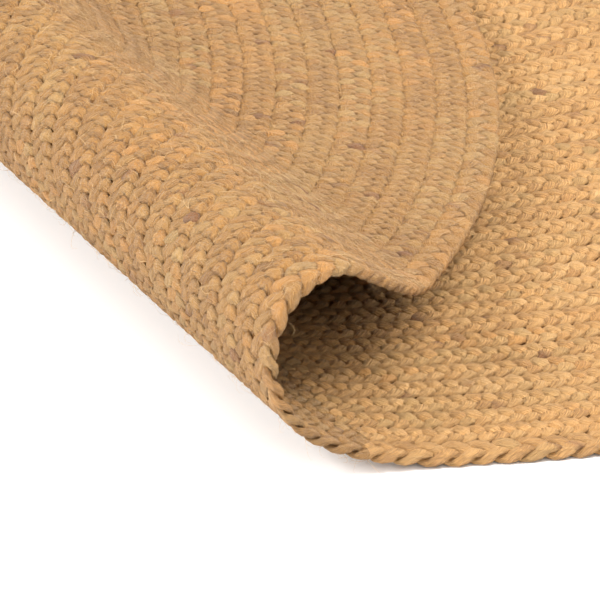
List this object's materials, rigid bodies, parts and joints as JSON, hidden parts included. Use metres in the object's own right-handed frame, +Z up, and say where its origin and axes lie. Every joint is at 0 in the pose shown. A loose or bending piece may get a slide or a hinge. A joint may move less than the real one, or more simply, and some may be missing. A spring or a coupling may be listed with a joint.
{
  "type": "area rug",
  "caption": "Round rug of flat three-strand jute braid wound in a spiral, lying on the floor with one side rolled over on itself.",
  "frame": {"origin": "middle of the braid's first half turn at the centre of the spiral, on the floor", "axes": "+Z up from the floor; the rolled-over side lies towards -X and the open end of the roll faces -Y"},
  "size_m": [1.0725, 1.2075, 0.0789],
  "materials": {
    "jute_face": "hand-braided natural jute, glossy twisted fibres, golden tan with darker flecks",
    "jute_underside": "underside of the same braid, flatter, matter and fuzzier"
  },
  "bodies": {
    "floor_part": {"coil_01": "jute_face", "coil_02": "jute_face", "coil_03": "jute_face", "coil_04": "jute_face", "coil_05": "jute_face", "coil_06": "jute_face", "coil_07": "jute_face", "coil_08": "jute_face", "coil_09": "jute_face", "coil_10": "jute_face", "coil_11": "jute_face", "coil_12": "jute_face", "coil_13": "jute_face", "coil_14": "jute_face", "coil_15": "jute_face", "coil_16": "jute_face", "coil_17": "jute_face", "coil_18": "jute_face", "coil_19": "jute_face", "coil_20": "jute_face", "coil_21": "jute_face", "coil_22": "jute_face", "coil_23": "jute_face", "tail_end": "jute_face", "roll_foot": "jute_face"},
    "roll_lower": {"roll_band_1": "jute_underside"},
    "roll_side": {"roll_band_2": "jute_underside"},
    "roll_top": {"roll_band_3": "jute_underside"},
    "ramp": {"roll_ramp": "jute_underside"},
    "flap": {"flap_heel": "jute_underside", "flap_coil_17": "jute_underside", "flap_coil_18": "jute_underside", "flap_coil_19": "jute_underside", "flap_coil_20": "jute_underside", "flap_coil_21": "jute_underside", "flap_coil_22": "jute_underside", "flap_coil_23": "jute_underside"}
  },
  "joints": [
    {"name": "unroll", "type": "hinge", "parent": "floor_part", "child": "roll_lower", "pos_m": [-0.23348, -0.11388, 0.01154], "axis": [0.4384, -0.8988, 0], "range_deg": [0, 54.5]},
    {"name": "unroll_side", "type": "hinge", "parent": "roll_lower", "child": "roll_side", "pos_m": [-0.25332, -0.12355, 0.04248], "axis": [0.4384, -0.8988, 0], "range_deg": [0, 54.5]},
    {"name": "unroll_top", "type": "hinge", "parent": "roll_side", "child": "roll_top", "pos_m": [-0.24525, -0.11962, 0.07046], "axis": [0.4384, -0.8988, 0], "range_deg": [0, 54.5]},
    {"name": "unroll_ramp", "type": "hinge", "parent": "roll_top", "child": "ramp", "pos_m": [-0.22118, -0.10788, 0.0784], "axis": [0.4384, -0.8988, 0], "range_deg": [0, 54.5]},
    {"name": "flatten_heel", "type": "hinge", "parent": "ramp", "child": "flap", "pos_m": [-0.16705, -0.08148, 0.03066], "axis": [-0.4384, 0.8988, 0], "range_deg": [0, 30.5]}
  ],
  "couplings": [
    {"joint": "unroll_side", "follows": "unroll", "ratio": 1},
    {"joint": "unroll_top", "follows": "unroll", "ratio": 1},
    {"joint": "unroll_ramp", "follows": "unroll", "ratio": 1},
    {"joint": "flatten_heel", "follows": "unroll", "ratio": 0.55963}
  ]
}
